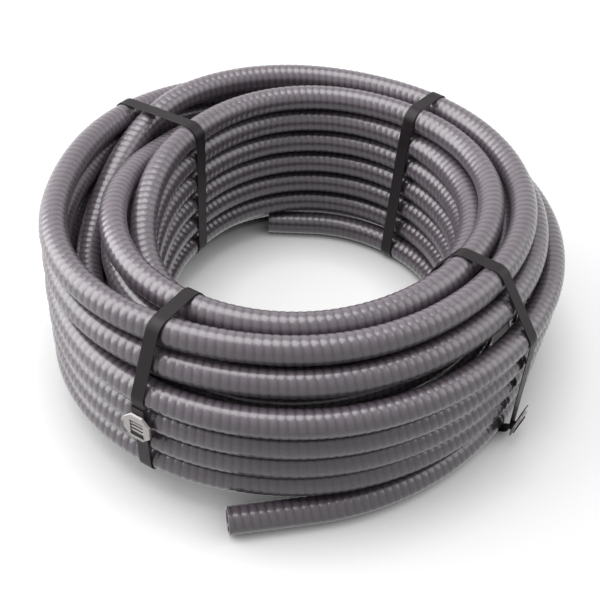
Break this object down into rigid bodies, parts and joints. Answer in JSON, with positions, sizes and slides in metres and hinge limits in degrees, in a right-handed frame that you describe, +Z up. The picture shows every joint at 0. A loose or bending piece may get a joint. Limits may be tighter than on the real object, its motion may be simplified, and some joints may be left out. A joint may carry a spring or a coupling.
{
  "type": "coiled waste hose",
  "caption": "Coil of ribbed, spiral-reinforced plastic waste hose, bound by flat plastic straps that close in tilting ladder buckles, with an open cut end on the outside and one on the inside.",
  "frame": {"origin": "on the coil's own axis, in the plane of the straps' undersides on which it stands", "axes": "+Z up along the coil's axis, +X to the right and -Y to the front, where the free end leaves"},
  "size_m": [0.5845, 0.6296, 0.2224],
  "materials": {
    "hose": "glossy",
    "spiral": "satin",
    "strap": "satin",
    "buckle": "satin"
  },
  "bodies": {
    "root": {"hose_coil": "hose", "hose_outer_run": "hose", "hose_free_end": "hose", "hose_inner_end": "hose", "free_end_spiral": "spiral", "inner_end_spiral": "spiral", "strap_front_left": "strap", "strap_front_right": "strap", "strap_back_left": "strap", "strap_back_right": "strap"},
    "buckle_front_left": {"buckle_front_left": "buckle", "tail_front_left": "strap"},
    "buckle_front_right": {"buckle_front_right": "buckle", "tail_front_right": "strap"},
    "buckle_back_left": {"buckle_back_left": "buckle", "tail_back_left": "strap"},
    "buckle_back_right": {"buckle_back_right": "buckle", "tail_back_right": "strap"}
  },
  "joints": [
    {"name": "front_left_buckle_tilt", "type": "hinge", "parent": "root", "child": "buckle_front_left", "pos_m": [-0.1719, -0.2647, 0.098], "axis": [0.8387, -0.5446, 0], "range_deg": [0, 22]},
    {"name": "front_right_buckle_tilt", "type": "hinge", "parent": "root", "child": "buckle_front_right", "pos_m": [0.23335, -0.17584, 0.016], "axis": [0.6018, 0.7986, 0], "range_deg": [-12, 10]},
    {"name": "back_left_buckle_tilt", "type": "hinge", "parent": "root", "child": "buckle_back_left", "pos_m": [-0.23581, 0.17769, 0.056], "axis": [-0.6018, -0.7986, 0], "range_deg": [0, 22]},
    {"name": "back_right_buckle_tilt", "type": "hinge", "parent": "root", "child": "buckle_back_right", "pos_m": [0.20323, 0.2422, 0.056], "axis": [-0.766, 0.6428, 0], "range_deg": [0, 22]}
  ]
}
